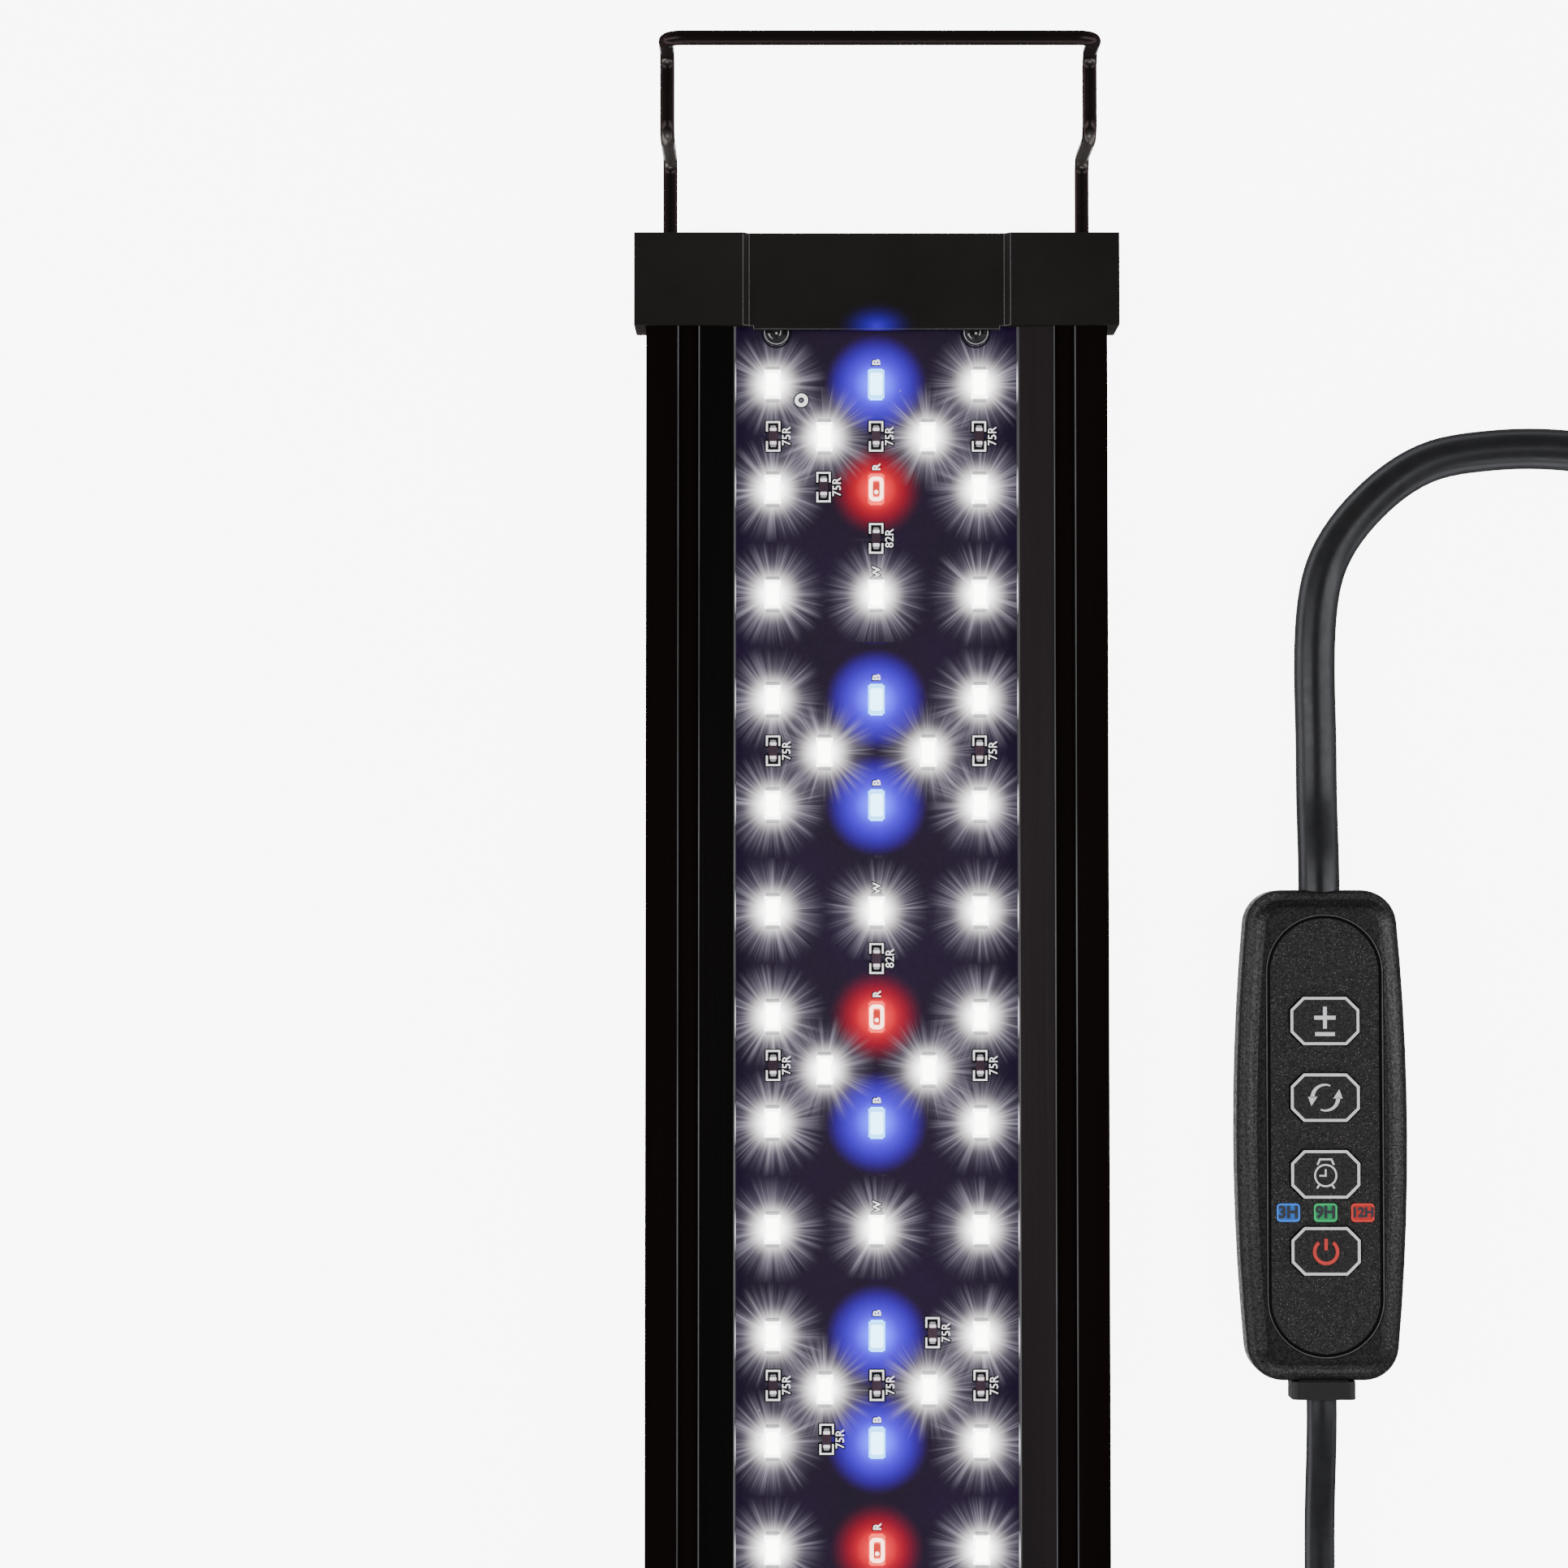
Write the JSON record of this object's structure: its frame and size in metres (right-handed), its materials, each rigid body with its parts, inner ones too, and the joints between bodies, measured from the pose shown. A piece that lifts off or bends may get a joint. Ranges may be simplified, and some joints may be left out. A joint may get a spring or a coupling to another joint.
{
  "type": "led aquarium light",
  "caption": "Slim finned LED aquarium lamp with sliding wire tank brackets, clear cover, inline timer controller with keys, and a low-voltage barrel-plug supply cord.",
  "frame": {"origin": "on the resting surface, under the middle of the lamp", "axes": "+Z from the heat sink to the lit side, +Y along the lamp towards the cap without the cord, +X towards the controller"},
  "size_m": [0.2128, 0.41, 0.0439],
  "materials": {
    "anodised_aluminium": "black anodised, fine extrusion lines",
    "cap_plastic": "fine satin moulded ABS",
    "seal_rubber": "closed-cell foam",
    "screw_steel": "zinc plated",
    "pad_silicone": "soft grey silicone",
    "board_mask": "black solder mask",
    "led_white": "white package, yellow phosphor",
    "led_blue": "white package, blue light",
    "led_red": "white package, red light",
    "resistor_ceramic": "glazed ceramic, tinned ends",
    "screw_dark": "nickel plated",
    "lens_clear": "clear acrylic",
    "lead_insulation": "silicone insulation",
    "wire_coating": "gloss black vinyl coating",
    "shoe_nylon": "natural nylon",
    "boot_pvc": "satin moulded PVC",
    "case_plastic": "grained black ABS",
    "panel_film": "coarse grained film",
    "key_face": "black key with white print",
    "window_tint": "blue, green and red tinted windows",
    "control_pcb": "green solder mask",
    "switch_body": "moulded switch body",
    "indicator_epoxy": "clear epoxy",
    "chip_epoxy": "moulded epoxy",
    "cord_pvc": "semi-gloss black PVC jacket",
    "tie_nylon": "nylon strap",
    "plug_nickel": "nickel plated brass",
    "plug_brass": "bare spring brass"
  },
  "bodies": {
    "root": {"heat_sink": "anodised_aluminium", "end_cap_top": "cap_plastic", "end_cap_bottom": "cap_plastic", "gasket_top": "seal_rubber", "gasket_bottom": "seal_rubber", "cap_screws": "screw_steel", "thermal_pad": "pad_silicone", "led_board": "board_mask", "white_leds": "led_white", "blue_leds": "led_blue", "red_leds": "led_red", "resistors": "resistor_ceramic", "board_screws": "screw_dark", "lens": "lens_clear", "board_leads": "lead_insulation", "cord_boot": "boot_pvc", "case_upper": "case_plastic", "case_lower": "case_plastic", "key_panel": "panel_film", "timer_windows": "window_tint", "control_board": "control_pcb", "tact_switches": "switch_body", "indicator_leds": "indicator_epoxy", "driver_chips": "chip_epoxy", "case_screws": "screw_steel", "case_boot": "boot_pvc", "case_leads": "lead_insulation", "lamp_cord": "cord_pvc", "supply_cord": "cord_pvc", "supply_coil": "cord_pvc", "plug_lead": "cord_pvc", "cord_tie": "tie_nylon", "plug_grip": "boot_pvc", "plug_sleeve": "plug_nickel", "plug_insulator": "chip_epoxy", "plug_contact": "plug_brass"},
    "bracket_top": {"bracket_top": "wire_coating", "bracket_shoes_top": "shoe_nylon"},
    "bracket_bottom": {"bracket_bottom": "wire_coating", "bracket_shoes_bottom": "shoe_nylon"},
    "brightness_key": {"brightness_key": "key_face"},
    "mode_key": {"mode_key": "key_face"},
    "timer_key": {"timer_key": "key_face"},
    "power_key": {"power_key": "key_face"}
  },
  "joints": [
    {"name": "bracket_top_slide", "type": "slide", "parent": "root", "child": "bracket_top", "axis": [0, 1, 0], "range_m": [-0.01, 0.06]},
    {"name": "bracket_bottom_slide", "type": "slide", "parent": "root", "child": "bracket_bottom", "axis": [0, -1, 0], "range_m": [-0.01, 0.06]},
    {"name": "brightness_key_press", "type": "slide", "parent": "root", "child": "brightness_key", "axis": [0, 0, -1], "range_m": [0, 0.0004], "stiffness_N_per_m": 800},
    {"name": "mode_key_press", "type": "slide", "parent": "root", "child": "mode_key", "axis": [0, 0, -1], "range_m": [0, 0.0004], "stiffness_N_per_m": 800},
    {"name": "timer_key_press", "type": "slide", "parent": "root", "child": "timer_key", "axis": [0, 0, -1], "range_m": [0, 0.0004], "stiffness_N_per_m": 800},
    {"name": "power_key_press", "type": "slide", "parent": "root", "child": "power_key", "axis": [0, 0, -1], "range_m": [0, 0.0004], "stiffness_N_per_m": 800}
  ]
}
